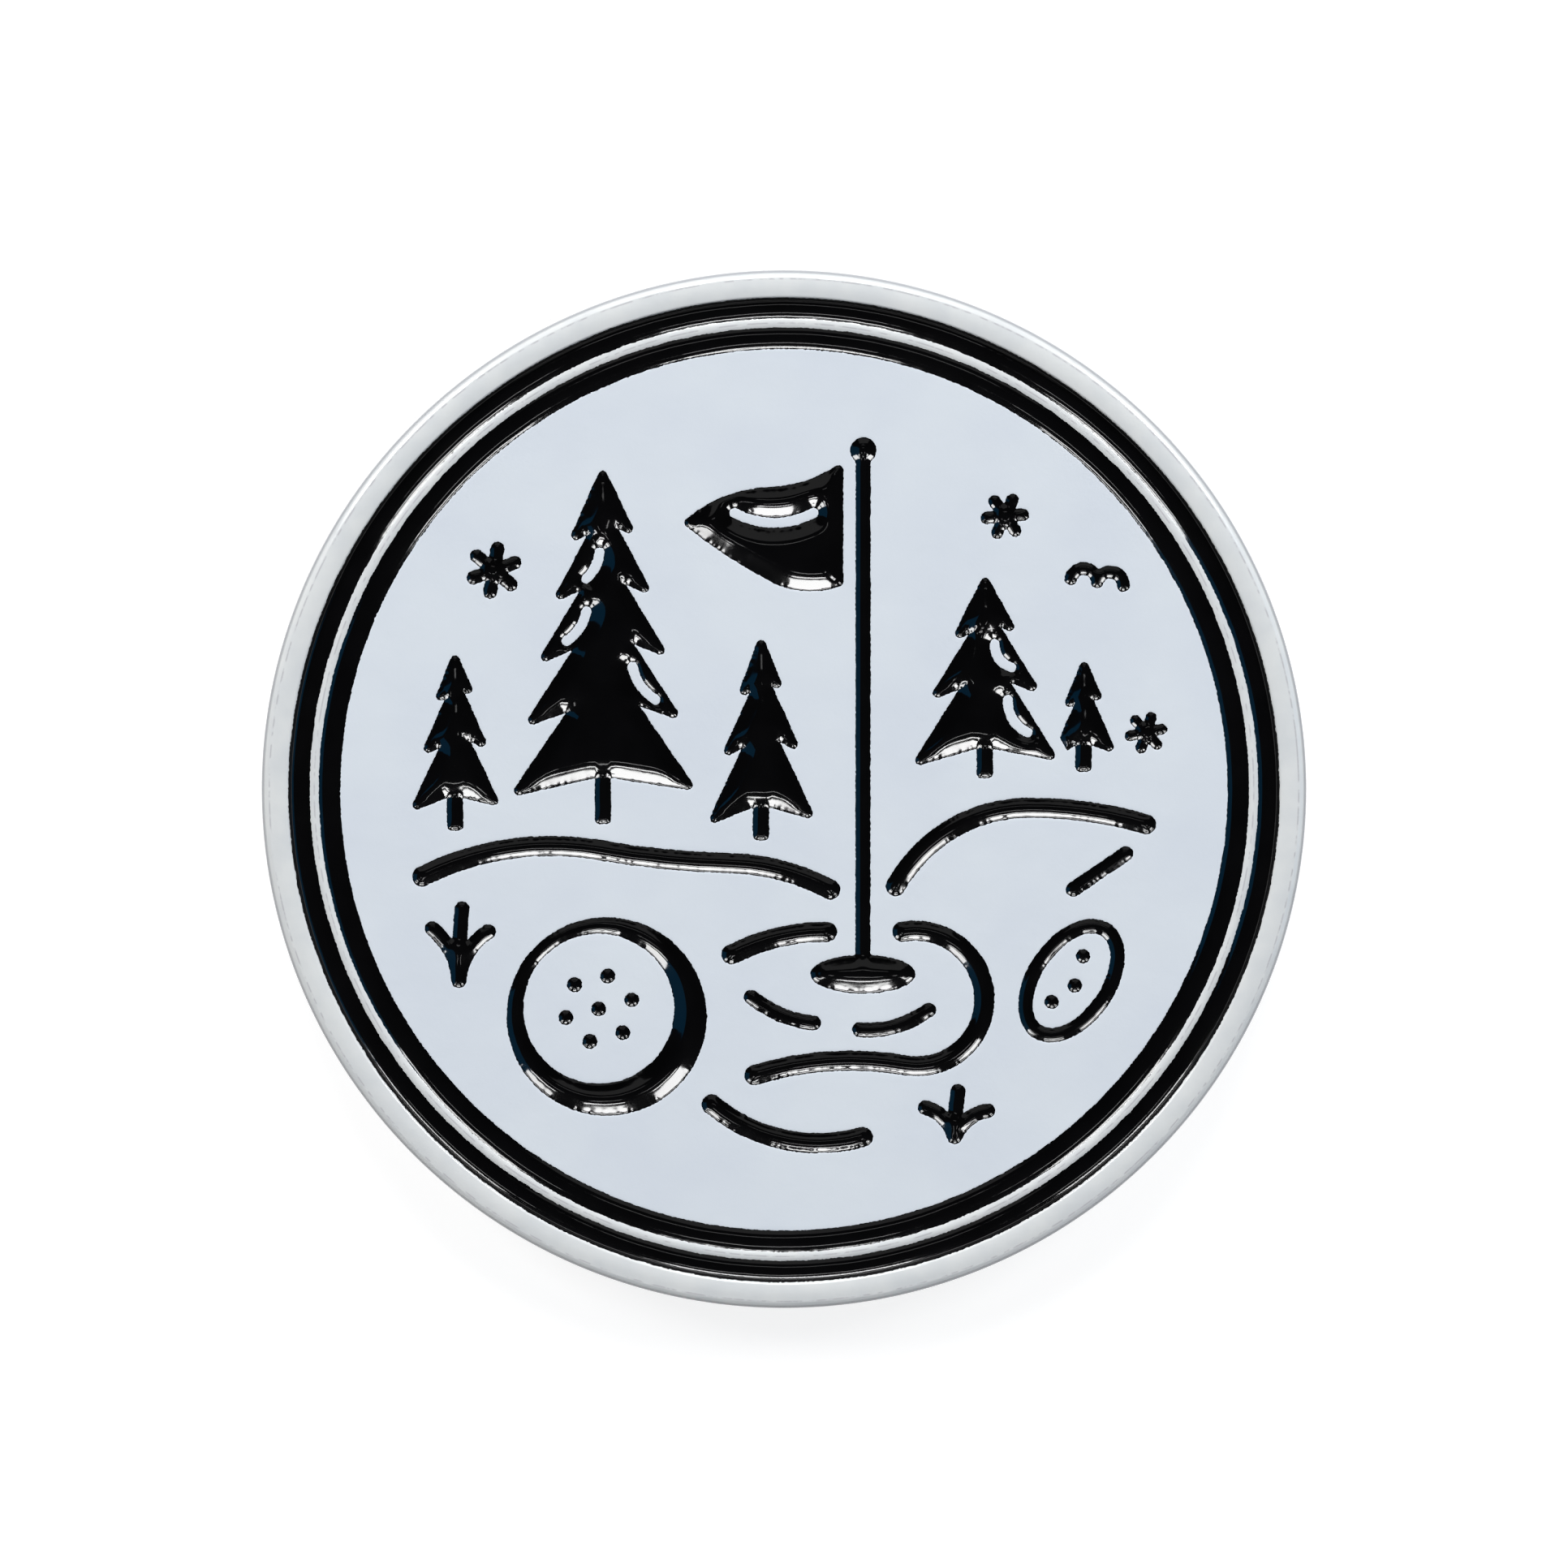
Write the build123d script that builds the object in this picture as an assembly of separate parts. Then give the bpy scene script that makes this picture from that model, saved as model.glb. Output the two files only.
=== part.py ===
from build123d import *
from math import cos, radians, sin
import os

# Golf ball marker: a die-struck, white-coated coin whose recessed rings and drawing are filled
# with black enamel. Units are millimetres. The origin is the centre of the back, +Z goes out
# through the face and +Y is the top of the drawing.

# Blank
DIAMETER = 31.75            # 1.25 in
THICKNESS = 3.0
EDGE_ROUND = 0.25           # rounding of both outer edges
BACK_RIM_WIDTH = 1.6
BACK_RECESS = 0.15

# Heights on the face
FIELD_DROP = 0.2            # field and ridge below the rim
RECESS_DEPTH = 0.5          # enamel recesses below the field
FILL_DROP = 0.25            # level enamel below the field, inside the drawing
RING_FILL_DROP = 0.05       # enamel below the field where it meets the walls of a ring groove
MENISCUS = 0.1              # sag of the enamel between those walls

# Ring grooves, measured at the level of the field
FIELD_RADIUS = 13.48
INNER_GROOVE_WIDTH = 0.66
RIDGE_WIDTH = 0.27
OUTER_GROOVE_WIDTH = 0.65
WALL_RUN = 0.15             # how far a groove wall leans over the depth of a recess

# Drawing
BOLD_LINE = 0.62
FINE_LINE = 0.46
LIGHT_WIDTH = 0.3           # raised lights inside filled areas
KEYLINE = 0.36              # raised metal left between two overlapping trees
TIP_ROUND = 0.15            # rounding of the corners of filled areas
SAND_DIAMETER = 0.44
DIMPLE_DIAMETER = 0.46
DIMPLE_PITCH = 1.04
DIMPLES_ROUND = 6
STAR_ARMS = 6
TRUNK_WIDTH = 0.5
NOTCH_REACH = 0.45          # how far out the notch between two boughs lies, of the bough's reach
LEFT_DROOP = 0.2            # left boughs end this much lower than right ones

# Derived sizes
RADIUS = DIAMETER / 2
FIELD_Z = THICKNESS - FIELD_DROP
FLOOR_Z = FIELD_Z - RECESS_DEPTH
FILL_Z = FIELD_Z - FILL_DROP
INNER_GROOVE = (FIELD_RADIUS, FIELD_RADIUS + INNER_GROOVE_WIDTH)
RIDGE_OUTER = INNER_GROOVE[1] + RIDGE_WIDTH
OUTER_GROOVE = (RIDGE_OUTER, RIDGE_OUTER + OUTER_GROOVE_WIDTH)


# ---------------------------------------------------------------- drawing tools

def stroke(points, width=BOLD_LINE):
    """Round-ended line: an arc through the first three points, then tangent arcs to the others."""
    if len(points) == 2:
        arcs = [Line(*points)]
    else:
        arcs = [ThreePointArc(*points[:3])]
    for point in points[3:]:
        arcs.append(TangentArc(arcs[-1] @ 1, point, tangent=arcs[-1] % 1))
    return make_face(Wire(arcs).offset_2d(width / 2))


def dot(centre, diameter):
    return Pos(*centre) * Circle(diameter / 2)


def rounded(area, radius):
    """The area with its outer corners rounded."""
    return offset(offset(area, -radius, kind=Kind.INTERSECTION), radius)


def pine(tip, boughs, trunk_foot):
    """Pine tree with drooping boughs, the left ones a little lower than the right ones. A bough
    is its reach from the trunk, the height of its end and the height of the notch under it."""
    x = tip[0]
    right = []
    left = []
    for reach, end_y, notch_y in boughs:
        right += [(x + reach, end_y), (x + NOTCH_REACH * reach, notch_y)]
        left += [(x - reach, end_y - LEFT_DROOP), (x - NOTCH_REACH * reach, notch_y - LEFT_DROOP)]
    half_trunk = TRUNK_WIDTH / 2
    right[-1] = (x + half_trunk, boughs[-1][2])
    left[-1] = (x - half_trunk, boughs[-1][2])
    foot = [(x + half_trunk, trunk_foot), (x - half_trunk, trunk_foot)]
    area = make_face(Polyline(tip, *right, *foot, *left[::-1], close=True))
    return rounded(area, TIP_ROUND)


def behind(back, front):
    """What shows of a shape behind another, with a keyline of metal between the two."""
    return back - offset(front, KEYLINE)


# ---------------------------------------------------------------- drawing, one pool each

def trees():
    """Five pines: three on the left of the flag and two on its right."""
    tall = pine(
        (-5.5, 10.0),
        [(1.1, 7.7, 8.0), (1.6, 5.9, 6.3), (2.1, 4.0, 4.5), (2.5, 2.1, 2.6), (2.9, 0.0, 0.4)],
        -1.0,
    )
    low = pine((-0.7, 4.9), [(0.8, 2.9, 3.2), (1.3, 1.1, 1.5), (1.7, -0.9, -0.5)], -1.5)
    outer = pine((-10.0, 4.4), [(0.7, 2.8, 3.0), (1.1, 1.2, 1.5), (1.45, -0.5, -0.2)], -1.2)
    broad = pine((6.1, 6.7), [(1.1, 4.7, 5.0), (1.8, 2.9, 3.3), (2.3, 0.9, 1.3)], 0.4)
    young = pine((9.1, 4.2), [(0.7, 2.6, 2.8), (1.05, 1.1, 1.4)], 0.6)
    for light in (
        [(-5.6, 7.3), (-5.7, 6.9), (-6.0, 6.5)],
        [(-6.0, 5.5), (-6.2, 5.0), (-6.6, 4.6)],
        [(-4.6, 3.8), (-4.4, 3.3), (-3.9, 2.8)],
    ):
        tall -= stroke(light, LIGHT_WIDTH)
    broad -= stroke([(6.4, 4.5), (6.5, 4.1), (6.9, 3.8)], LIGHT_WIDTH)
    broad -= stroke([(6.8, 2.8), (6.9, 2.3), (7.4, 1.8)], LIGHT_WIDTH)
    return {
        "tall_pine_enamel": tall,
        "low_pine_enamel": low,
        "outer_pine_enamel": outer,
        "broad_pine_enamel": broad,
        "young_pine_enamel": behind(young, broad),
    }


def flag():
    """Pennant blowing to the left of a stick that stands in the cup."""
    stick_x = 2.4
    hoist_x = 1.8
    hoist_top = 10.1
    hoist_foot = 6.3
    cup_y = -5.6
    fly = (-3.1, 8.2)
    top = ThreePointArc((hoist_x, hoist_top), (0.7, 9.5), (-0.4, 9.3))
    top_end = TangentArc(top @ 1, fly, tangent=top % 1)
    foot = ThreePointArc(fly, (-1.6, 7.1), (-0.4, 6.4))
    foot_end = TangentArc(foot @ 1, (hoist_x, hoist_foot), tangent=foot % 1)
    pennant = make_face([top, top_end, foot, foot_end, Line(foot_end @ 1, (hoist_x, hoist_top))])
    pennant = rounded(pennant, TIP_ROUND) - stroke([(-1.5, 8.5), (-0.4, 8.2), (0.9, 8.5)], LIGHT_WIDTH)
    stick = stroke([(stick_x, hoist_top), (stick_x, cup_y)], FINE_LINE)
    knob = dot((stick_x, hoist_top + 0.3), 0.8)
    cup = Pos(stick_x, cup_y) * Ellipse(1.6, 0.6)
    return {"pennant_enamel": pennant, "flagstick_enamel": stick + knob + cup}


def ground():
    """Hill lines, the mown green with its edge, and a bunker with its sand."""
    bunker = Ellipse(2.1, 1.35) - Ellipse(2.1 - FINE_LINE, 1.35 - FINE_LINE)
    sand = [(8.15, -6.45), (8.85, -5.95), (9.1, -5.05)]
    return {
        "left_hill_enamel": stroke([(-11.0, -2.6), (-8.6, -1.8), (-5.6, -1.8), (-1.6, -2.2), (1.4, -3.0)]),
        "right_hill_enamel": stroke([(3.4, -2.9), (5.0, -1.2), (7.4, -0.5), (11.0, -1.0)]),
        "near_green_edge_enamel": stroke([(3.6, -4.3), (5.5, -4.9), (6.1, -6.5), (3.7, -8.4), (-0.9, -8.7)]),
        "far_green_edge_enamel": stroke([(-1.6, -5.0), (-0.3, -4.5), (1.3, -4.3)]),
        "mowing_line_enamel": [
            stroke([(-1.0, -6.3), (-0.2, -6.8), (0.9, -7.1)], FINE_LINE),
            stroke([(2.3, -7.3), (3.4, -7.2), (4.4, -6.7)], FINE_LINE),
        ],
        "bunker_enamel": Pos(8.75, -5.8) * Rot(0, 0, 56) * bunker,
        "sand_enamel": [dot(place, SAND_DIAMETER) for place in sand],
        "slope_dash_enamel": stroke([(8.8, -3.0), (10.4, -1.9)], FINE_LINE),
    }


def ball():
    """Golf ball with a line that thickens on its shaded side, its dimples and its shadow."""
    centre = Pos(-5.4, -6.9)
    highlight = Pos(-0.24, 0.24)
    outline = centre * (Circle(3.05) - highlight * Circle(2.3))
    dimples = [centre * highlight * dot((0, 0), DIMPLE_DIAMETER)]
    for step in range(DIMPLES_ROUND):
        turn = radians(360 / DIMPLES_ROUND * step + 15)
        place = (DIMPLE_PITCH * cos(turn), DIMPLE_PITCH * sin(turn))
        dimples.append(centre * highlight * dot(place, DIMPLE_DIAMETER))
    return {
        "ball_outline_enamel": outline,
        "dimple_enamel": dimples,
        "ball_shadow_enamel": stroke([(-2.2, -9.6), (-0.9, -10.4), (2.4, -10.6)]),
    }


def tuft(foot, blades):
    """Grass blades that fan out from one foot; each blade is (lean, height)."""
    area = Sketch()
    for lean, height in blades:
        bend = (foot[0] + lean / 3, foot[1] + height * 0.6)
        area += stroke([foot, bend, (foot[0] + lean, foot[1] + height)], FINE_LINE)
    return area


def grass():
    return {
        "left_tuft_enamel": tuft((-9.9, -5.8), [(-0.8, 1.6), (0.1, 2.2), (0.9, 1.5)]),
        "front_tuft_enamel": tuft((5.2, -10.6), [(-0.9, 0.9), (0.1, 1.4), (1.0, 0.8)]),
    }


def asterisk(centre, arm, width, turn):
    """Six-armed star with round arm ends."""
    area = Sketch()
    for step in range(STAR_ARMS // 2):
        area += Pos(*centre) * Rot(0, 0, turn + 360 / STAR_ARMS * step) * SlotOverall(2 * arm, width)
    return area


def sky():
    left_wing = stroke([(8.7, 6.5), (9.1, 6.8), (9.5, 6.4)], 0.4)
    right_wing = stroke([(9.5, 6.4), (9.9, 6.7), (10.3, 6.3)], 0.4)
    return {
        "left_star_enamel": asterisk((-8.8, 6.75), 0.88, 0.42, 20),
        "top_star_enamel": asterisk((6.7, 8.4), 0.74, 0.38, 5),
        "right_star_enamel": asterisk((11.0, 1.8), 0.66, 0.34, 12),
        "bird_enamel": left_wing + right_wing,
    }


def pools():
    """Every enamel pool of the drawing, by node name."""
    return {**trees(), **flag(), **ground(), **ball(), **grass(), **sky()}


# ---------------------------------------------------------------- solids

def between(area, low_z, high_z):
    """Straight-sided solid of a sketch, or of several, between two heights."""
    areas = area if isinstance(area, list) else [area]
    solids = [extrude(Pos(0, 0, low_z) * each, high_z - low_z) for each in areas]
    return Compound(children=[solid for part in solids for solid in part.solids()])


def wall_in(z):
    """How far a groove wall has come in at a height."""
    return WALL_RUN * (FIELD_Z - z) / RECESS_DEPTH


def ring(groove, top_z, sag=0.0):
    """Solid that fills a ring groove from its floor to a height, its top sagging if asked."""
    inner, outer = groove
    floor_in = wall_in(FLOOR_Z)
    top_in = wall_in(top_z)
    start = (inner + top_in, top_z)
    end = (outer - top_in, top_z)
    middle = ((inner + outer) / 2, top_z - sag)
    top = ThreePointArc(start, middle, end) if sag else Line(start, end)
    walls = Polyline(end, (outer - floor_in, FLOOR_Z), (inner + floor_in, FLOOR_Z), start)
    return revolve(Plane.XZ * make_face([top, walls]), Axis.Z)


def blank():
    """The coin before its drawing is struck: rims, fields and ring grooves."""
    disc = Cylinder(RADIUS, THICKNESS, align=(Align.CENTER, Align.CENTER, Align.MIN))
    disc = fillet(disc.edges().filter_by(GeomType.CIRCLE), EDGE_ROUND)
    face_recess = Pos(0, 0, FIELD_Z) * Cone(
        OUTER_GROOVE[1], OUTER_GROOVE[1] + FIELD_DROP / 2, FIELD_DROP,
        align=(Align.CENTER, Align.CENTER, Align.MIN),
    )
    back_radius = RADIUS - BACK_RIM_WIDTH
    back_recess = Cone(
        back_radius, back_radius - BACK_RECESS, BACK_RECESS,
        align=(Align.CENTER, Align.CENTER, Align.MIN),
    )
    return disc - face_recess - back_recess - ring(INNER_GROOVE, FIELD_Z) - ring(OUTER_GROOVE, FIELD_Z)


def assembly():
    """Every node of the marker: the struck coin and each pool of enamel."""
    drawing = pools()
    nodes = {
        "inner_ring_enamel": ring(INNER_GROOVE, FIELD_Z - RING_FILL_DROP, MENISCUS),
        "outer_ring_enamel": ring(OUTER_GROOVE, FIELD_Z - RING_FILL_DROP, MENISCUS),
    }
    coin = blank()
    for name, area in drawing.items():
        coin -= between(area, FLOOR_Z, THICKNESS)
        nodes[name] = between(area, FLOOR_Z, FILL_Z)
    return {"coin_body": coin, **nodes}


os.makedirs("parts", exist_ok=True)
for node_name, solid in assembly().items():
    export_step(solid, f"parts/{node_name}.step")
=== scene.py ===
import math

import bpy
import numpy as np
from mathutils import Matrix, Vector, kdtree, noise
from mathutils.geometry import delaunay_2d_cdt


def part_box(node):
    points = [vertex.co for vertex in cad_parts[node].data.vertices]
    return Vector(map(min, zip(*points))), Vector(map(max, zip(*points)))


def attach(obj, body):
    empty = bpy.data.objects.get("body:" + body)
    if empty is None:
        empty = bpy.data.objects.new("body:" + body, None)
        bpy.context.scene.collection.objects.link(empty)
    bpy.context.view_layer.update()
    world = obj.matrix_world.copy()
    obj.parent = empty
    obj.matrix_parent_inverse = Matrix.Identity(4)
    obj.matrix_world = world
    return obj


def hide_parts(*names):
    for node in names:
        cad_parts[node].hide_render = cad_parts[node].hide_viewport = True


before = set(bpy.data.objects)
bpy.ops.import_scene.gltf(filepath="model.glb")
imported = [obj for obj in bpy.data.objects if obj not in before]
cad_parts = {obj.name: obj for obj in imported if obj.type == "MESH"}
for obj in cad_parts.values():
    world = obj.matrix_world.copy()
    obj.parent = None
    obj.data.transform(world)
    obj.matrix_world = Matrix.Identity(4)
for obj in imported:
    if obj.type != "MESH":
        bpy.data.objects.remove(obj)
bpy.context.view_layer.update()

# Golf ball marker. Shapes are worked out in millimetres, in the CAD model's own axes, and are
# turned into metres where a mesh is made. The enamel takes its outlines from the CAD nodes; the
# coat's ragged edge, the sloping walls of the enamel and the rounded creases are added here.

MM = 0.001
COIN = "coin_body"
RINGS = ("inner_ring_enamel", "outer_ring_enamel")
POOLS = sorted(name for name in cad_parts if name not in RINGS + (COIN,))

# Sizes from the frame
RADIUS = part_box(COIN)[1].x / MM
RIM_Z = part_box(COIN)[1].z / MM
FLOOR_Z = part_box(POOLS[0])[0].z / MM
FILL_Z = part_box(POOLS[0])[1].z / MM

# Coin, as in the CAD model
FIELD_DROP = 0.2          # from the rim down to the field
FIELD_Z = RIM_Z - FIELD_DROP
RIM_WALL = 0.06           # plan width of the wall that the outer enamel climbs to the rim
RIM_CROWN = 0.035         # rise of the middle of the rim
CROWN_MARGIN = 0.17       # distance from the end of that crown to the outside of the coin
EDGE_ROUND = 0.25
BACK_RIM_WIDTH = 1.6
BACK_RECESS = 0.15
BACK_SLOPE = 0.25         # plan width of the step between the back rim and the recess
GROOVE_LEAN = 0.015       # how far a groove's wall leans in from the field to the CAD enamel

# Enamel walls, by depth inside an outline
WALL_PLANE = 0.36         # evenly sloped part
WALL_RUN = 0.64           # whole wall, where there is room for it
EDGE_SOFT = 0.03          # softening at the edge of the coat
CREASE_SOFT = 0.10        # softening where two walls meet
SOFTER = (0.10, 0.22)     # depths over which the second takes over from the first
WALL_SLOPE = 2 * (FIELD_Z - FILL_Z) / (WALL_PLANE + WALL_RUN)

# Ring grooves
RING_SLOPE = 0.5          # of the hollow enamel at the edges of a groove
RIDGE_CROWN = 0.03        # rise of the ridge between the grooves, above the field

# Ragged edge between the coat and the enamel
STEP = 0.04               # spacing of points along an outline
FAIRING = (0.5, -0.52)    # moves of a point towards the middle of its neighbours, in and out
FAIRING_ROUNDS = 10
TOOTH = (0.07, 0.024)     # wavelength and reach of its small teeth
WANDER = (0.45, 0.016)    # wavelength and reach of its slow drift
RAGGED_REACH = 0.16       # depth over which the enamel forgets the ragged edge

# Meshes
TURN_STEPS = 1700         # points round a ring groove
EDGE_STEPS = 600          # points round the outside of the coin
RING_ROWS = 16            # bands across a ring groove
RIDGE_ROWS = 8            # bands across the ridge
CORNER_STEPS = 10         # steps round the quarter turn at the edge of the coin
BACK_STEPS = 6            # bands down the step into the back recess
POOL_ROWS = (0.04, 0.085, 0.135, 0.19, 0.25, 0.32, 0.42, 0.54, 0.66)
FIELD_ROWS = (-0.03, -0.07)
FAR_FIELD_ROW = -0.2      # a last row of the field round the drawing, with 1 point kept in 4
FIELD_CIRCLES = ((0.04, 1), (0.09, 2), (0.2, 4))  # (distance inside the edge, n): 1 point in n stays
RIM_BAND = 0.17           # width of the part of the rim with closer bands, beside the groove
RIM_BAND_ROWS = 5         # how many bands it has
RIM_CIRCLES = (0.28, 0.38, 0.48)                  # further rows, by distance from the groove
GRID_ROW = 0.866          # spacing of the rows of a triangular grid, as a share of its pitch
POOL_GRID = (0.3, 0.1)    # pitch, and the distance kept from the last of the pool's rows
FIELD_GRID = (0.6, 0.3)   # pitch, and the distance kept from the drawing
FIELD_MARGIN = 0.4        # distance kept from the inner groove
BACK_GRID = (1.1, 0.6)    # pitch, and the distance kept from the edge of the recess
TOUCHING = 1e-6           # distance within which the triangulation takes two points for one
MERGE_DIGITS = 5          # decimal places of a millimetre that tell two corners apart
SHARP_ANGLE = 50          # degrees between faces, above which their edge is sharp
INSIDE_LOOPS = 1          # kind of output asked of the triangulation
FLOOR_GAP = 0.02          # keeps the floor out of the plane of the back rim

# Slow unevenness of the face: wavelength, direction in degrees, height
WAVES = ((2.3, 20, 0.0016), (1.7, 75, 0.0012), (1.3, 130, 0.0009), (0.9, 165, 0.0005))


# ---------------------------------------------------------------- outlines

def directed_edges(faces):
    """Edges that only one face uses, as start: end, with the face on their left."""
    edges = set()
    for face in faces:
        edges.update(zip(face, face[1:] + face[:1]))
    return {start: end for start, end in edges if (end, start) not in edges}


def loops_of(following):
    """Chains start: end pairs into closed loops, always in the same order."""
    following = dict(sorted(following.items()))
    loops = []
    while following:
        first, point = following.popitem()
        loop = [first]
        while point != first:
            loop.append(point)
            point = following.pop(point)
        loops.append(loop)
    return loops


def cad_outlines(node):
    """Outlines of a CAD pool's top, the enamel on their left."""
    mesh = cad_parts[node].data
    places = [tuple(round(value / MM, 4) for value in vertex.co) for vertex in mesh.vertices]
    top_z = max(place[2] for place in places)
    faces = []
    for polygon in mesh.polygons:
        corners = [places[index] for index in polygon.vertices]
        if all(corner[2] == top_z for corner in corners):
            faces.append([corner[:2] for corner in corners])
    return [np.array(loop) for loop in loops_of(directed_edges(faces))]


def resampled(loop, step=STEP):
    """The same loop with evenly spaced points."""
    closed = np.vstack([loop, loop[:1]])
    along = np.concatenate([[0], np.cumsum(np.hypot(*np.diff(closed, axis=0).T))])
    count = round(along[-1] / step)
    where = np.arange(count) * along[-1] / count
    return np.column_stack([np.interp(where, along, closed[:, axis]) for axis in (0, 1)])


def faired(loop):
    """Smooths a loop without shrinking it."""
    for move in FAIRING * FAIRING_ROUNDS:
        middle = (np.roll(loop, 1, 0) + np.roll(loop, -1, 0)) / 2
        loop = loop + move * (middle - loop)
    return loop


def inward(loop):
    """Unit normals of a loop, to the left of its direction."""
    along = np.roll(loop, -1, 0) - np.roll(loop, 1, 0)
    along /= np.linalg.norm(along, axis=1)[:, None]
    return np.column_stack([-along[:, 1], along[:, 0]])


def grain(points, wavelength, seed):
    """Smooth noise of about -1 to 1 at each point."""
    scaled = points / wavelength
    return np.array([noise.noise(Vector((x, y, seed))) for x, y in scaled])


def raggedness(points):
    """How far the edge of the coat strays at each point."""
    return TOOTH[1] * grain(points, TOOTH[0], 3.0) + WANDER[1] * grain(points, WANDER[0], 8.0)


class Outline:
    """Smooth outlines of a drawing, and how far any point lies inside them."""

    def __init__(self, nodes):
        cad_loops = [loop for node in nodes for loop in cad_outlines(node)]
        self.loops = [faired(resampled(loop)) for loop in cad_loops]
        strays = [raggedness(loop) for loop in self.loops]
        self.ragged = [
            loop + inward(loop) * stray[:, None] for loop, stray in zip(self.loops, strays)
        ]
        self.stray = np.concatenate(strays)
        self.points = np.vstack(self.loops)
        self.normals = np.vstack([inward(loop) for loop in self.loops])
        self.before = np.vstack([np.roll(loop, 1, 0) for loop in self.loops])
        self.after = np.vstack([np.roll(loop, -1, 0) for loop in self.loops])
        self.tree = kdtree.KDTree(len(self.points))
        for index, (x, y) in enumerate(self.points):
            self.tree.insert((x, y, 0), index)
        self.tree.balance()

    def measure(self, queries):
        """Depth of each point inside the nearest outline, and how far the coat strays there."""
        find = self.tree.find
        nearest = np.array([find((x, y, 0))[1] for x, y in queries.tolist()])
        start = self.points[nearest]
        best = np.full(len(queries), np.inf)
        for end in (self.before[nearest], self.after[nearest]):
            span = end - start
            along, length = (np.einsum("ij,ij->i", way, span) for way in (queries - start, span))
            share = along / length
            foot = start + np.clip(share, 0, 1)[:, None] * span
            best = np.minimum(best, np.linalg.norm(queries - foot, axis=1))
        side = np.einsum("ij,ij->i", queries - start, self.normals[nearest])
        return np.where(side >= 0, best, -best), self.stray[nearest]

    def depth(self, queries):
        return self.measure(queries)[0]

    def row(self, distance, keep=0.94):
        """Points along the outlines at a distance inside (or outside, if negative), without those
        that another stretch of outline comes closer to."""
        moved = self.points + self.normals * distance
        return moved[self.depth(moved) / distance > keep]


# ---------------------------------------------------------------- relief

def ease(share):
    """0 to 1 with a level start and end."""
    share = np.clip(share, 0, 1)
    return share * share * (3 - 2 * share)


def fall(depth):
    """How far the enamel lies below the field: an even slope, then a curve to the level."""
    bend = np.clip(depth - WALL_PLANE, 0, WALL_RUN - WALL_PLANE)
    straight = np.clip(depth, 0, WALL_PLANE)
    return WALL_SLOPE * (straight + bend - bend ** 2 / 2 / (WALL_RUN - WALL_PLANE))


def softened(values, width, pitch):
    """Evens out values on a line or a grid, over about the width each way."""
    for _ in range(round(2 * (width / pitch) ** 2)):
        for axis in range(values.ndim):
            values = np.moveaxis(values, axis, 0)
            before = np.concatenate([values[:1], values[:-1]])
            after = np.concatenate([values[1:], values[-1:]])
            values = np.moveaxis((before + 2 * values + after) / 4, 0, axis)
    return values


def finished(heights, depth, pitch):
    """Heights with a crisp edge and rounder creases."""
    crisp = softened(heights, EDGE_SOFT, pitch)
    rounder = softened(heights, CREASE_SOFT, pitch)
    return crisp + ease((depth - SOFTER[0]) / (SOFTER[1] - SOFTER[0])) * (rounder - crisp)


class DrawingRelief:
    """Heights of the drawing relative to the field, on a fine square grid."""

    PITCH = 0.03
    BLOCK = 10            # grid points along a block, whose depth is first taken at its middle
    BLOCKS = 90
    NEAR = (-0.42, 0.95)  # block depths between which every grid point is measured

    def __init__(self, outline):
        reach = self.PITCH * self.BLOCK * self.BLOCKS / 2
        self.start = -reach + self.PITCH / 2
        line = self.start + np.arange(self.BLOCK * self.BLOCKS) * self.PITCH
        middles = line.reshape(-1, self.BLOCK).mean(axis=1)
        coarse = outline.depth(np.stack(np.meshgrid(middles, middles), -1).reshape(-1, 2))
        tile = np.ones((self.BLOCK, self.BLOCK))
        depth = np.kron(coarse.reshape(self.BLOCKS, self.BLOCKS), tile)
        near = (depth > self.NEAR[0]) & (depth < self.NEAR[1])
        points = np.stack(np.meshgrid(line, line), -1)[near]
        depth[near], stray = outline.measure(points)
        ragged = depth.copy()
        ragged[near] -= stray * (1 - ease(depth[near] / RAGGED_REACH))
        heights = finished(-fall(ragged), depth, self.PITCH)
        slope_y, slope_x = np.gradient(heights, self.PITCH)
        self.layers = np.stack([heights, slope_x, slope_y])

    def at(self, points):
        """Height and both slopes at each point."""
        place = (points - self.start) / self.PITCH
        corner = np.clip(place.astype(int), 0, self.BLOCK * self.BLOCKS - 2)
        x, y = corner.T
        across, up = np.clip(place - corner, 0, 1).T
        low = self.layers[:, y, x] * (1 - across) + self.layers[:, y, x + 1] * across
        high = self.layers[:, y + 1, x] * (1 - across) + self.layers[:, y + 1, x + 1] * across
        return low * (1 - up) + high * up


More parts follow.
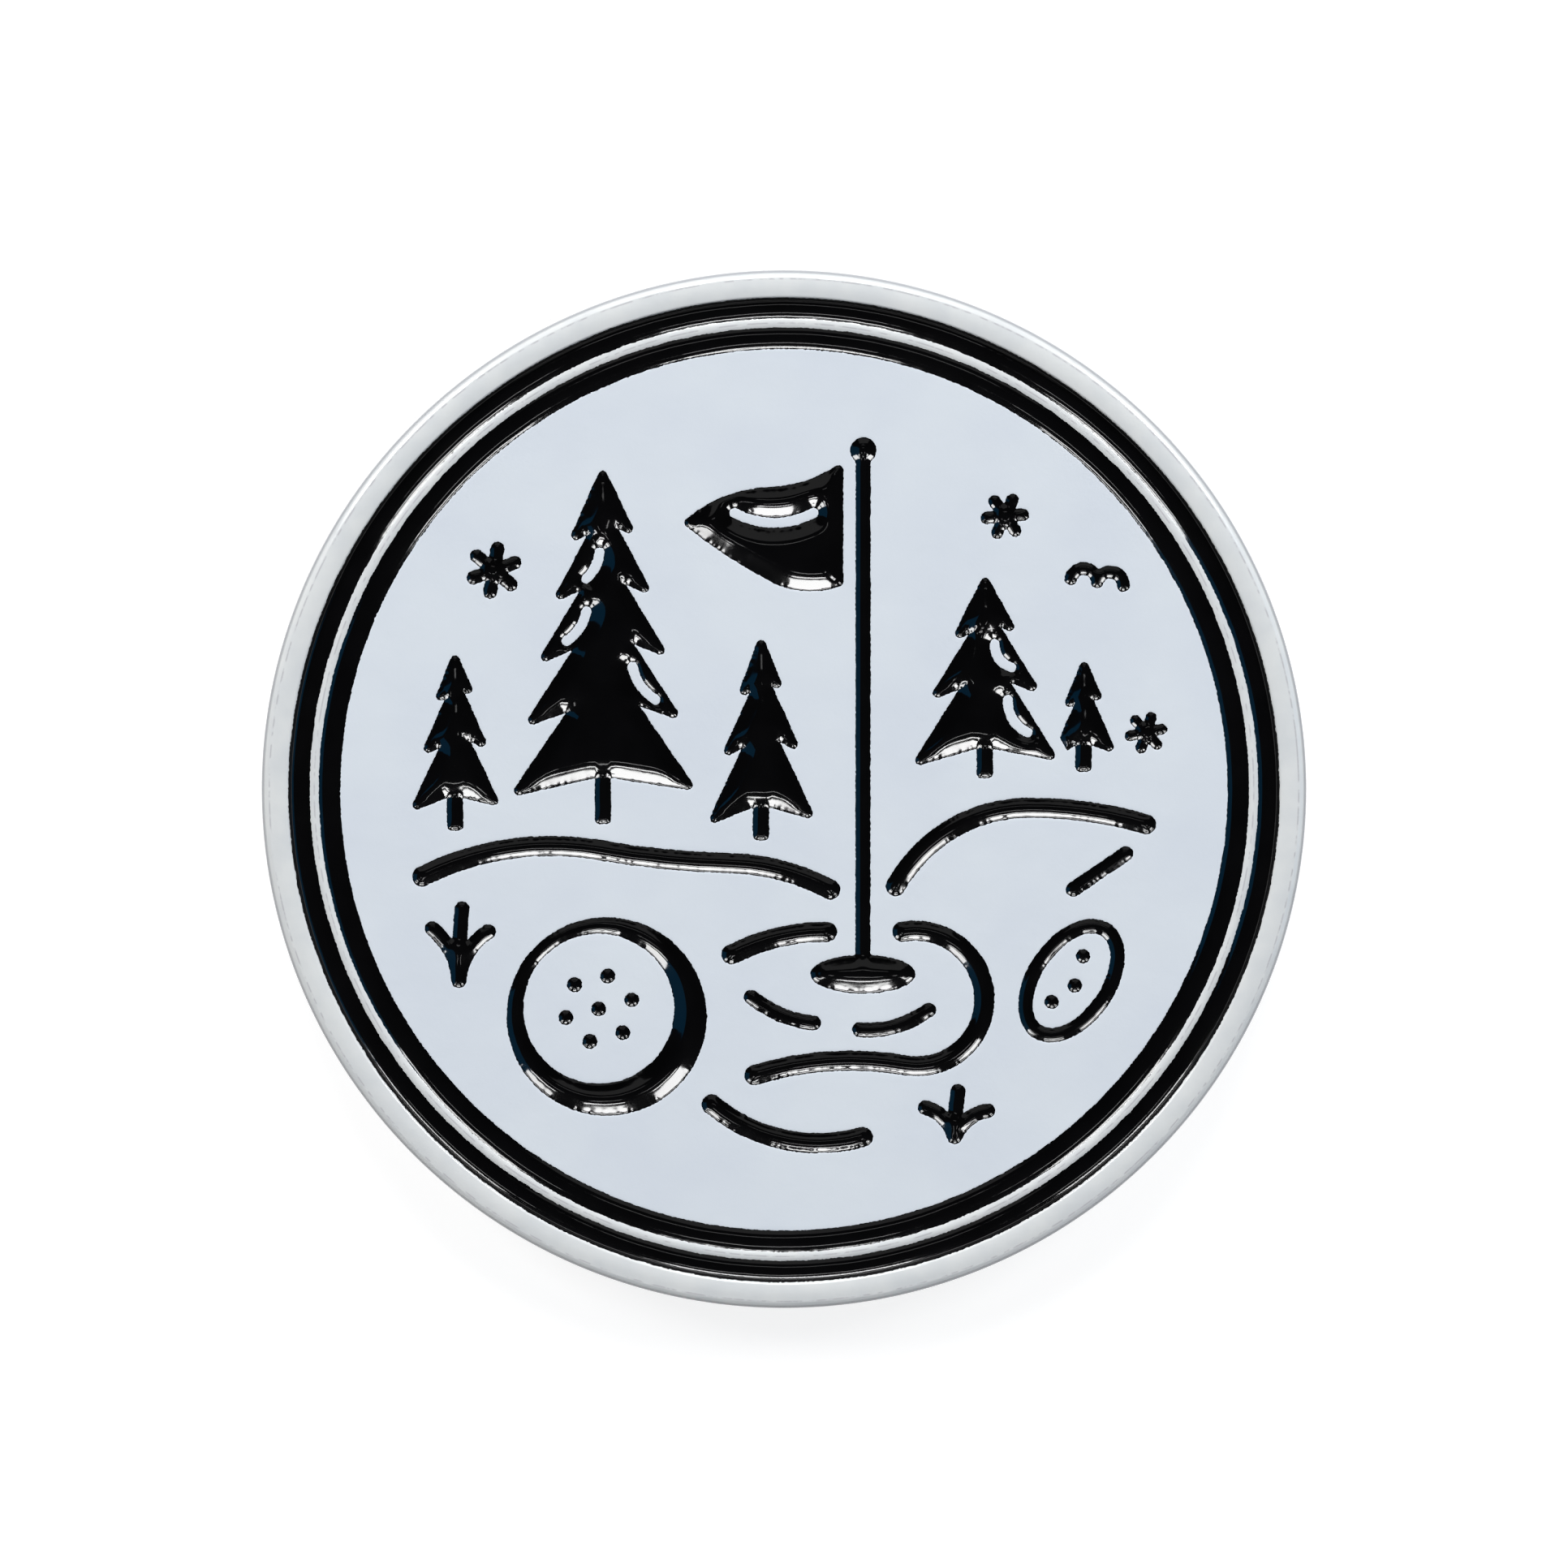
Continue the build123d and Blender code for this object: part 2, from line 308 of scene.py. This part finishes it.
class TurnedRelief:
    """Heights of the ring grooves, ridge and rim relative to the field, by radius."""

    PITCH = 0.01
    MARGIN = 1.0

    def __init__(self):
        self.radii = np.arange(FIELD_EDGE - self.MARGIN, RADIUS + self.MARGIN, self.PITCH)
        wall_foot = RIM_IN - RIM_WALL
        heights = (RIM_Z - FIELD_Z) * np.clip((self.radii - wall_foot) / RIM_WALL, 0, 1)
        heights -= self.arched(FIELD_EDGE, RIDGE_IN, RING_SLOPE * (RIDGE_IN - FIELD_EDGE) / 4)
        heights += self.arched(RIDGE_IN, RIDGE_OUT, RIDGE_CROWN)
        heights -= self.arched(RIDGE_OUT, wall_foot, RING_SLOPE * (wall_foot - RIDGE_OUT) / 4)
        heights += self.arched(RIM_IN, RADIUS - CROWN_MARGIN, RIM_CROWN)
        self.heights = softened(heights, EDGE_SOFT, self.PITCH)
        self.slopes = np.gradient(self.heights, self.PITCH)

    def arched(self, start, end, rise):
        """Parabola over the radii between two, 0 outside them."""
        share = (2 * self.radii - start - end) / (end - start)
        return rise * np.clip(1 - share ** 2, 0, None)

    def at(self, points):
        """Height and both slopes at each point."""
        radius = np.hypot(*points.T)
        slope = np.interp(radius, self.radii, self.slopes) / np.maximum(radius, 1)
        height = np.interp(radius, self.radii, self.heights)
        return np.stack([height, slope * points[:, 0], slope * points[:, 1]])


def waves_at(points):
    """Height and both slopes of the slow unevenness of the face."""
    total = np.zeros((3, len(points)))
    for wavelength, turn, height in WAVES:
        way_x = 2 * math.pi / wavelength * math.cos(math.radians(turn))
        way_y = 2 * math.pi / wavelength * math.sin(math.radians(turn))
        phase = points[:, 0] * way_x + points[:, 1] * way_y + turn
        total[0] += height * np.sin(phase)
        total[1] += height * np.cos(phase) * way_x
        total[2] += height * np.cos(phase) * way_y
    return total


def groove_edges():
    """Radii of the groove edges at the level of the field, from the axis outwards."""
    edges = []
    for node in RINGS:
        almost_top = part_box(node)[1].z - 1e-6
        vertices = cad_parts[node].data.vertices
        radii = [vertex.co.xy.length / MM for vertex in vertices if vertex.co.z > almost_top]
        edges += [min(radii) - GROOVE_LEAN, max(radii) + GROOVE_LEAN]
    return edges


FIELD_EDGE, RIDGE_IN, RIDGE_OUT, RIM_IN = groove_edges()
drawing = Outline(POOLS)
reliefs = (DrawingRelief(drawing), TurnedRelief())


def face_at(points):
    """Places on the face above points of the plan, and the normals there."""
    height, slope_x, slope_y = waves_at(points) + reliefs[0].at(points) + reliefs[1].at(points)
    normals = np.column_stack([-slope_x, -slope_y, np.ones(len(points))])
    normals /= np.linalg.norm(normals, axis=1)[:, None]
    return np.column_stack([points, FIELD_Z + height]), normals


# ---------------------------------------------------------------- meshes

def sides(triangle):
    return [frozenset(pair) for pair in zip(triangle, triangle[1:] + triangle[:1])]


def inside_only(triangles, fixed):
    """The triangles that lie inside an odd number of loops, whose edges are the fixed ones."""
    owners = {}
    for position, triangle in enumerate(triangles):
        for side in sides(triangle):
            owners.setdefault(side, []).append(position)
    level = [0] * len(triangles)
    front = [owner[0] for owner in owners.values() if len(owner) == 1]
    loops_in = 1
    while front:
        beyond = []
        while front:
            position = front.pop()
            if level[position]:
                continue
            level[position] = loops_in
            for side in sides(triangles[position]):
                (beyond if side in fixed else front).extend(owners[side])
        front = beyond
        loops_in += 1
    return [triangle for triangle, count in zip(triangles, level) if count % 2]


def triangulated(loops, inner_points=()):
    """Triangles between loops, through the inner points. Returns (points, triangles)."""
    points = [tuple(point) for loop in loops for point in loop]
    edges = []
    start = 0
    for loop in loops:
        count = len(loop)
        edges += [(start + step, start + (step + 1) % count) for step in range(count)]
        start += count
    points += [tuple(point) for point in inner_points]
    cut = delaunay_2d_cdt(points, edges, [], INSIDE_LOOPS, TOUCHING)
    places, cut_edges, triangles, origins, edge_origins, _ = cut
    fixed = {frozenset(edge) for edge, origin in zip(cut_edges, edge_origins) if origin}
    triangles = inside_only([list(triangle) for triangle in triangles], fixed)
    pairs = zip(places, origins)
    exact = np.array([points[min(origin)] if origin else tuple(place) for place, origin in pairs])
    corners = exact[np.array(triangles)]
    first, second = corners[:, 1] - corners[:, 0], corners[:, 2] - corners[:, 0]
    upward = first[:, 0] * second[:, 1] > first[:, 1] * second[:, 0]
    return exact, [face if up else face[::-1] for face, up in zip(triangles, upward)]


def with_z(points, z):
    return np.column_stack([points, np.broadcast_to(z, len(points))])


def in_band(first, second):
    """Quads between two closed rows of the same length, as positions in the two joined."""
    count = len(first)
    following = [(step + 1) % count for step in range(count)]
    quads = [(step, after, count + after, count + step) for step, after in enumerate(following)]
    return np.vstack([first, second]), quads


class Shell:
    """Faces of one piece, in millimetres. Corners at the same place are one vertex."""

    def __init__(self):
        self.index = {}
        self.faces = []
        self.normals = []     # one list of corner normals for each face; zeros are worked out

    def add(self, places, faces, normals=None, flip=False):
        """Adds faces given as positions in a list of places, without those that have no area."""
        keys = [tuple(place) for place in np.round(places, MERGE_DIGITS).tolist()]
        corners = [self.index.setdefault(key, len(self.index)) for key in keys]
        normals = [(0, 0, 0)] * len(keys) if normals is None else normals.tolist()
        for face in faces:
            face = face[::-1] if flip else face
            used = {corners[position]: position for position in face}
            if len(used) > 2:
                self.faces.append(list(used))
                self.normals += [normals[position] for position in used.values()]

    def add_face(self, points, faces):
        """Adds part of the face of the coin, or of the enamel, from points of the plan."""
        places, normals = face_at(points)
        self.add(places, faces, normals)

    def add_rows(self, rows, flip=False):
        """Adds bands between closed rows of places, each facing out or up."""
        for row, following in zip(rows, rows[1:]):
            self.add(*in_band(following, row), flip=flip)

    def add_face_rows(self, rows):
        """Adds bands of the face between closed rows of points, from the axis outwards."""
        for row, following in zip(rows, rows[1:]):
            self.add_face(*in_band(following, row))

    def piece(self, name, material):
        """Makes the mesh object, riding on the one body."""
        mesh = bpy.data.meshes.new(name)
        mesh.from_pydata([[value * MM for value in key] for key in self.index], [], self.faces)
        mesh.shade_smooth()
        mesh.set_sharp_from_angle(angle=math.radians(SHARP_ANGLE))
        mesh.normals_split_custom_set(self.normals)
        mesh.materials.append(material)
        thing = bpy.data.objects.new(name, mesh)
        bpy.context.scene.collection.objects.link(thing)
        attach(thing, "root")
        return thing


def add_pit(shell, loops, facing_in):
    """Adds the upright sides and the floor of a recess, or of the enamel that fills it."""
    for loop in loops:
        shell.add_rows([face_at(loop)[0], with_z(loop, FLOOR_Z)], flip=facing_in)
    points, triangles = triangulated(loops)
    shell.add(with_z(points, FLOOR_Z), triangles, flip=not facing_in)


def compass(steps):
    """Unit circle as a closed row of points."""
    turns = np.arange(steps) * 2 * math.pi / steps
    return np.column_stack([np.cos(turns), np.sin(turns)])


def ragged_circle(radius):
    circle = compass(TURN_STEPS)
    return circle * (radius + raggedness(circle * radius))[:, None]


def rows_between(first, last, count):
    """Closed rows that divide the space from one row to another, both ends included."""
    return [first + (last - first) * step / count for step in range(count)] + [last]


def hex_points(limit, pitch):
    """Points of a triangular grid out to a distance from the axis."""
    rows = int(limit / pitch / GRID_ROW) + 1
    columns = np.arange(-rows, rows + 1)
    grid = []
    for row in columns:
        across = (columns + row % 2 / 2) * pitch
        grid.append(np.column_stack([across, np.full(len(columns), row * GRID_ROW * pitch)]))
    points = np.vstack(grid)
    return points[np.hypot(*points.T) < limit]


# ---------------------------------------------------------------- pieces

def pool_piece(node, material):
    """Enamel pool: sloping walls down to the level, upright hidden sides and a floor."""
    outline = Outline([node])
    inner = [outline.row(distance) for distance in POOL_ROWS]
    low, high = (np.array(corner[:2]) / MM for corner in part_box(node))
    pitch, gap = POOL_GRID
    grid = hex_points(FIELD_EDGE, pitch)
    grid = grid[np.all((grid > low) & (grid < high), axis=1)]
    if len(grid):
        inner.append(grid[outline.depth(grid) > POOL_ROWS[-1] + gap])
    shell = Shell()
    shell.add_face(*triangulated(outline.ragged, np.vstack(inner)))
    add_pit(shell, outline.ragged, facing_in=False)
    thing = shell.piece(node.replace("_enamel", "_pool"), material)
    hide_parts(node)


def ring_piece(node, inner, outer, material):
    """Enamel ring in its groove, with closer rows near both of its edges."""
    first, last = ragged_circle(inner), ragged_circle(outer)
    shares = [ease(step / RING_ROWS) for step in range(1, RING_ROWS)]
    rows = [first] + [first + (last - first) * share for share in shares] + [last]
    below = [with_z(last, FLOOR_Z), with_z(first, FLOOR_Z)]
    hidden = [face_at(last)[0], *below, face_at(first)[0]]
    shell = Shell()
    shell.add_face_rows(rows)
    shell.add_rows(hidden)
    thing = shell.piece(node.replace("_enamel", "_pool"), material)
    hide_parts(node)


def add_field(shell):
    """Level field between the inner groove and the pools, with their empty recesses."""
    edge = ragged_circle(FIELD_EDGE)
    circle = compass(TURN_STEPS)
    inner = [drawing.row(distance) for distance in FIELD_ROWS]
    inner.append(drawing.row(FAR_FIELD_ROW)[::4])
    inner += [circle[::kept] * (FIELD_EDGE - distance) for distance, kept in FIELD_CIRCLES]
    pitch, gap = FIELD_GRID
    grid = hex_points(FIELD_EDGE - FIELD_MARGIN, pitch)
    inner.append(grid[drawing.depth(grid) < -gap])
    shell.add_face(*triangulated([edge] + drawing.ragged, np.vstack(inner)))
    add_pit(shell, drawing.ragged, facing_in=True)


def edge_rows():
    """Rows down the rounded and upright edge of the coin, from the face to the back."""
    circle = compass(EDGE_STEPS)
    centre = RADIUS - EDGE_ROUND
    upper = []
    for step in range(CORNER_STEPS + 1):
        bend = math.radians(90 / CORNER_STEPS * step)
        upper.append((centre + EDGE_ROUND * math.sin(bend), EDGE_ROUND * (1 - math.cos(bend))))
    rows = [face_at(circle * upper[1][0])[0]]
    rows += [with_z(circle * radius, RIM_Z - drop) for radius, drop in upper[2:]]
    rows.append(with_z(circle * RADIUS, RIM_Z / 2))
    rows += [with_z(circle * radius, drop) for radius, drop in upper[::-1]]
    return rows


def add_back(shell):
    """Back rim and the shallow recess inside it."""
    circle = compass(EDGE_STEPS)
    recess_edge = RADIUS - BACK_RIM_WIDTH
    shares = [step / BACK_STEPS for step in range(BACK_STEPS + 1)]
    slope = [(recess_edge - BACK_SLOPE * share, BACK_RECESS * ease(share)) for share in shares]
    rows = [with_z(circle * (RADIUS - EDGE_ROUND), 0)]
    rows += [with_z(circle * radius, z) for radius, z in slope]
    shell.add_rows(rows)
    pitch, gap = BACK_GRID
    grid = hex_points(slope[-1][0] - gap, pitch)
    points, triangles = triangulated([rows[-1][:, :2]], grid)
    shell.add(with_z(points, BACK_RECESS), triangles, flip=True)


def coin_piece(material):
    """The coated metal: face with its empty recesses, rim, edge and back, as one closed solid."""
    field_edge, ridge_in, ridge_out, rim_in = map(
        ragged_circle, (FIELD_EDGE, RIDGE_IN, RIDGE_OUT, RIM_IN)
    )
    shell = Shell()
    add_field(shell)
    for near, far in ((field_edge, ridge_in), (ridge_out, rim_in)):
        floor = [with_z(near, FLOOR_Z), with_z(far, FLOOR_Z)]
        shell.add_rows([face_at(near)[0], *floor, face_at(far)[0]])
    shell.add_face_rows(rows_between(ridge_in, ridge_out, RIDGE_ROWS))
    band_edge = compass(TURN_STEPS) * (RIM_IN + RIM_BAND)
    shell.add_face_rows(rows_between(rim_in, band_edge, RIM_BAND_ROWS))
    outer = edge_rows()
    circles = [compass(EDGE_STEPS) * (RIM_IN + distance) for distance in RIM_CIRCLES]
    shell.add_face(*triangulated([band_edge, outer[0][:, :2]], np.vstack(circles)))
    shell.add_rows(outer)
    add_back(shell)
    thing = shell.piece("coated_coin", material)
    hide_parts(COIN)


# ---------------------------------------------------------------- materials

RANGE_SOCKETS = ("From Min", "From Max", "To Min", "To Max")
UNEVEN = (0.3, 0.7)        # part of the noise over which the roughness goes from end to end
COAT_ROUGHNESS = (0.17, 0.27)
ENAMEL_ROUGHNESS = (0.05, 0.09)
CLOUDS = (0.35, 0.65)      # part of the noise over which one colour of the coat becomes the other
FIELD_COLOURS = ((0.63, 0.675, 0.735), (0.655, 0.70, 0.75))
RIM_COLOURS = ((0.62, 0.64, 0.65), (0.665, 0.68, 0.68))
TINT_MARGIN = 0.2          # from the edges of the inner groove, between which the colours change
DUST_COLOUR = (0.36, 0.37, 0.39)
SCUFF_RADII = (RADIUS - EDGE_ROUND + 0.01, (RIDGE_IN + RIDGE_OUT) / 2)
SCUFF_REACH = 0.035        # from the middle of a scuff to where it has faded
SCUFF_GAPS = (0.44, 0.56)  # part of the noise over which a gap in a scuff becomes the scuff
SCUFF_SHARE = 0.75
SCUFF_COLOUR = (0.40, 0.39, 0.42)
EDGE_SHADE_REACH = (0.11, 0.05)  # distances inside the outside of the coin between which the painted edge shade comes in
EDGE_SHADE_BELOW = (0.34, 0.2)   # and distances below the rim
EDGE_SHADE_ABOVE = (0.3, 0.55)   # and, at the other edge, distances above the back
# painted shade on the coin's rounded outer edges: how strongly it greys the coat, and its grey
EDGE_SHADE_SHARE = 0.85
EDGE_SHADE_COLOUR = (0.22, 0.23, 0.25)


class Paint:
    """A material and short ways to add its nodes. Noise scales are in turns per millimetre."""

    def __init__(self, name):
        self.material = bpy.data.materials.new(name)
        self.material.use_nodes = True
        self.tree = self.material.node_tree
        self.shader = self.tree.nodes["Principled BSDF"]
        place = self.node("ShaderNodeTexCoord").outputs["Object"]
        millimetres = self.node("ShaderNodeVectorMath", operation="SCALE")
        millimetres.inputs["Scale"].default_value = 1 / MM
        self.link(place, millimetres.inputs[0])
        self.place = millimetres.outputs[0]

    def node(self, kind, **settings):
        node = self.tree.nodes.new(kind)
        for name, value in settings.items():
            setattr(node, name, value)
        return node

    def link(self, output, socket):
        self.tree.links.new(output, socket)

    def fill(self, socket, value):
        """Sets a socket to a number or colour, or links it."""
        if isinstance(value, (int, float)):
            socket.default_value = value
        elif isinstance(value, tuple):
            socket.default_value = (*value, 1)
        else:
            self.link(value, socket)

    def noise(self, per_mm, detail=2.0):
        node = self.node("ShaderNodeTexNoise")
        self.link(self.place, node.inputs["Vector"])
        node.inputs["Scale"].default_value = per_mm
        node.inputs["Detail"].default_value = detail
        return node.outputs["Fac"]

    def math(self, operation, first, second):
        node = self.node("ShaderNodeMath", operation=operation)
        self.fill(node.inputs[0], first)
        self.fill(node.inputs[1], second)
        return node.outputs[0]

    def ramp(self, value, start, end, low=0.0, high=1.0):
        """Carries a value from one range over to another, and no further."""
        node = self.node("ShaderNodeMapRange")
        self.link(value, node.inputs["Value"])
        for name, number in zip(RANGE_SOCKETS, (start, end, low, high)):
            node.inputs[name].default_value = number
        return node.outputs["Result"]

    def mixed(self, share, first, second):
        """Colour between two others."""
        node = self.node("ShaderNodeMix", data_type="RGBA")
        self.link(share, node.inputs["Factor"])
        colours = [socket for socket in node.inputs if socket.type == "RGBA"]
        self.fill(colours[0], first)
        self.fill(colours[1], second)
        return [socket for socket in node.outputs if socket.type == "RGBA"][0]

    def specks(self, per_mm, share, size):
        """1 in scattered round specks of up to a size in millimetres, in a share of the cells."""
        cells = self.node("ShaderNodeTexVoronoi")
        self.link(self.place, cells.inputs["Vector"])
        cells.inputs["Scale"].default_value = per_mm
        split = self.node("ShaderNodeSeparateColor")
        self.link(cells.outputs["Color"], split.inputs[0])
        chosen = self.math("LESS_THAN", split.outputs[0], share)
        radius = self.math("MULTIPLY", split.outputs[1], size * per_mm)
        near = self.math("LESS_THAN", cells.outputs["Distance"], radius)
        return self.math("MULTIPLY", chosen, near)

    def bump(self, height, depth, under=None):
        """Normal bumped by a height of 0 to 1 times a depth in millimetres."""
        node = self.node("ShaderNodeBump")
        node.inputs["Distance"].default_value = depth * MM
        self.link(height, node.inputs["Height"])
        if under is not None:
            self.link(under, node.inputs["Normal"])
        return node.outputs["Normal"]

    def radius(self):
        """Distance from the axis of the coin, in millimetres."""
        flat = self.node("ShaderNodeVectorMath", operation="MULTIPLY")
        self.link(self.place, flat.inputs[0])
        flat.inputs[1].default_value = (1, 1, 0)
        length = self.node("ShaderNodeVectorMath", operation="LENGTH")
        self.link(flat.outputs[0], length.inputs[0])
        return length.outputs["Value"]

    def height(self):
        """Height above the back of the coin, in millimetres."""
        split = self.node("ShaderNodeSeparateXYZ")
        self.link(self.place, split.inputs[0])
        return split.outputs["Z"]

    def scuff(self, radius, middle):
        """1 on a thin, broken circle, fading to 0 on both sides of it."""
        apart = self.math("ABSOLUTE", self.math("SUBTRACT", radius, middle), 0)
        line = self.ramp(apart, 0, SCUFF_REACH, 1.0, 0.0)
        return self.math("MULTIPLY", line, self.ramp(self.noise(3.0), *SCUFF_GAPS))


def white_coat():
    """Glossy cool-white coat, warmer on the ridge and rim: slight clouding, faint orange peel and
    rare dust. A broken scuff runs along each, and painted shade greys the coin's rounded outer
    edges."""
    paint = Paint("white_coat")
    radius, height = paint.radius(), paint.height()
    clouds = paint.ramp(paint.noise(0.3), *CLOUDS)
    field = paint.mixed(clouds, *FIELD_COLOURS)
    rim_clouds = paint.ramp(paint.noise(1.1), *CLOUDS)
    rim = paint.mixed(rim_clouds, *RIM_COLOURS)
    change = paint.ramp(radius, FIELD_EDGE + TINT_MARGIN, RIDGE_IN - TINT_MARGIN)
    coat = paint.mixed(change, field, rim)
    dusty = paint.mixed(paint.specks(per_mm=0.8, share=0.06, size=0.05), coat, DUST_COLOUR)
    scuffs = paint.math("MAXIMUM", *(paint.scuff(radius, middle) for middle in SCUFF_RADII))
    scuffed = paint.mixed(paint.math("MULTIPLY", scuffs, SCUFF_SHARE), dusty, SCUFF_COLOUR)
    # painted shade: grey on the rounded outer edges at the rim and at the back, standing in for
    # shade and dark reflections there
    shaded_ends = paint.math(
        "MAXIMUM",
        paint.ramp(height, *(RIM_Z - below for below in EDGE_SHADE_BELOW)),
        paint.ramp(height, *EDGE_SHADE_ABOVE, 1.0, 0.0),
    )
    outermost = paint.ramp(radius, *(RADIUS - inside for inside in EDGE_SHADE_REACH))
    edge_shade = paint.math("MULTIPLY", shaded_ends, outermost)
    edge_shaded = paint.mixed(paint.math("MULTIPLY", edge_shade, EDGE_SHADE_SHARE), scuffed, EDGE_SHADE_COLOUR)
    paint.link(edge_shaded, paint.shader.inputs["Base Color"])
    roughness = paint.ramp(paint.noise(1.5), *UNEVEN, *COAT_ROUGHNESS)
    paint.link(roughness, paint.shader.inputs["Roughness"])
    peel = paint.bump(paint.noise(2.4), depth=0.006)
    peel = paint.bump(paint.noise(16.0), depth=0.0012, under=peel)
    paint.link(peel, paint.shader.inputs["Normal"])
    paint.shader.inputs["Coat Weight"].default_value = 0.5
    paint.shader.inputs["Coat Roughness"].default_value = 0.1
    return paint.material


def black_enamel():
    """Wet-looking black enamel: slow waves, pinholes and fine dust."""
    paint = Paint("black_enamel")
    base = paint.mixed(paint.noise(0.8), (0.0012, 0.0012, 0.0014), (0.003, 0.003, 0.0034))
    dusty = paint.mixed(paint.specks(per_mm=1.5, share=0.05, size=0.02), base, (0.10, 0.10, 0.10))
    paint.link(dusty, paint.shader.inputs["Base Color"])
    roughness = paint.ramp(paint.noise(2.0), *UNEVEN, *ENAMEL_ROUGHNESS)
    paint.link(roughness, paint.shader.inputs["Roughness"])
    waves = paint.bump(paint.noise(1.6), depth=0.004)
    pinholes = paint.math("SUBTRACT", 1.0, paint.specks(per_mm=3.0, share=0.04, size=0.03))
    paint.link(paint.bump(pinholes, depth=0.006, under=waves), paint.shader.inputs["Normal"])
    paint.shader.inputs["IOR"].default_value = 1.55
    return paint.material


# ---------------------------------------------------------------- stage

def add_floor():
    """Large pale floor, glowing a little so that shadows on it stay faint."""
    paint = Paint("pale_floor")
    tint = paint.mixed(paint.noise(0.02), (0.31, 0.31, 0.31), (0.33, 0.33, 0.33))
    paint.link(tint, paint.shader.inputs["Base Color"])
    paint.shader.inputs["Roughness"].default_value = 0.9
    paint.shader.inputs["Emission Color"].default_value = (1, 1, 1, 1)
    paint.shader.inputs["Emission Strength"].default_value = 0.82
    reach = 0.6
    mesh = bpy.data.meshes.new("floor")
    corners = [(-reach, -reach), (reach, -reach), (reach, reach), (-reach, reach)]
    mesh.from_pydata([(x, y, -FLOOR_GAP * MM) for x, y in corners], [], [(0, 1, 2, 3)])
    mesh.materials.append(paint.material)
    floor = bpy.data.objects.new("floor", mesh)
    bpy.context.scene.collection.objects.link(floor)


def add_panel(name, turn, lean, width, height, radiance, colour=(1, 1, 1)):
    """Light panel facing the coin. All are angles in degrees seen from it: turn is the compass
    direction from +X, lean the angle from straight overhead, and width and height the size."""
    distance = 0.6
    light = bpy.data.lights.new(name, "AREA")
    light.shape = "RECTANGLE"
    light.size = 2 * distance * math.sin(math.radians(lean)) * math.sin(math.radians(width / 2))
    light.size_y = 2 * distance * math.tan(math.radians(height / 2))
    light.energy = radiance * math.pi * light.size * light.size_y
    light.color = colour
    panel = bpy.data.objects.new(name, light)
    turn, lean = math.radians(turn), math.radians(lean)
    panel.location = distance * Vector(
        (math.sin(lean) * math.cos(turn), math.sin(lean) * math.sin(turn), math.cos(lean))
    )
    panel.rotation_euler = (lean, 0, turn + math.pi / 2)
    bpy.context.scene.collection.objects.link(panel)


def add_lights():
    """Three banks of panels towards the top of the drawing, one low panel behind them for the
    edge, and dim panels for sheen."""
    banks = (("top", 90, 36, 1.0), ("left", 142, 24, 0.92), ("right", 38, 24, 0.8))
    for name, turn, width, share in banks:
        add_panel(name + "_panel", turn, 48, width, 10, radiance=21 * share)
        add_panel(name + "_strip", turn, 38, width, 2.4, radiance=21 * share)
        add_panel(name + "_thin_strip", turn, 21, width, 1.6, radiance=6 * share)
    add_panel("edge_panel", 90, 81, 70, 12, radiance=1.2)
    add_panel("low_sheen", 270, 50, 60, 16, radiance=0.3)
    add_panel("low_line", 270, 26, 40, 2, radiance=1.6)
    add_panel("blue_sheen", 0, 50, 60, 30, radiance=0.45, colour=(0.0, 0.45, 1.0))


def add_sky():
    """World that is bright near the horizon, most of all past the top of the drawing."""
    world = bpy.data.worlds.new("studio")
    world.use_nodes = True
    tree = world.node_tree
    direction = tree.nodes.new("ShaderNodeTexCoord")
    split = tree.nodes.new("ShaderNodeSeparateXYZ")
    tree.links.new(direction.outputs["Generated"], split.inputs[0])
    strength = tree.nodes.new("ShaderNodeMath")
    strength.operation = "MULTIPLY"
    fades = (("Y", -0.7, 0.7, 0.45, 0.9), ("Z", 0.30, 0.42, 1.0, 0.01))
    for socket, (axis, *numbers) in zip(strength.inputs, fades):
        fade = tree.nodes.new("ShaderNodeMapRange")
        tree.links.new(split.outputs[axis], fade.inputs["Value"])
        for name, number in zip(RANGE_SOCKETS, numbers):
            fade.inputs[name].default_value = number
        tree.links.new(fade.outputs["Result"], socket)
    tree.links.new(strength.outputs[0], tree.nodes["Background"].inputs["Strength"])
    tree.nodes["Background"].inputs["Color"].default_value = (1, 1, 1, 1)
    bpy.context.scene.world = world


def add_camera():
    """Camera almost straight above, leaning towards the top of the drawing."""
    lean = math.radians(6.5)
    distance = 0.42
    diameters_across = 1.5
    centre = Vector((0, 0.25 * MM, RIM_Z * MM))
    frame_width = diameters_across * 2 * RADIUS * MM
    data = bpy.data.cameras.new("camera")
    data.angle = 2 * math.atan(frame_width / 2 / distance)
    camera = bpy.data.objects.new("camera", data)
    camera.location = centre + distance * Vector((0, math.sin(lean), math.cos(lean)))
    camera.rotation_euler = (-lean, 0, 0)
    bpy.context.scene.collection.objects.link(camera)
    bpy.context.scene.camera = camera


coat = white_coat()
enamel = black_enamel()
coin_piece(coat)
ring_piece(RINGS[0], FIELD_EDGE, RIDGE_IN, enamel)
ring_piece(RINGS[1], RIDGE_OUT, RIM_IN, enamel)
for pool in POOLS:
    pool_piece(pool, enamel)
add_floor()
add_camera()
add_lights()
add_sky()
bpy.context.scene.view_settings.view_transform = "Standard"
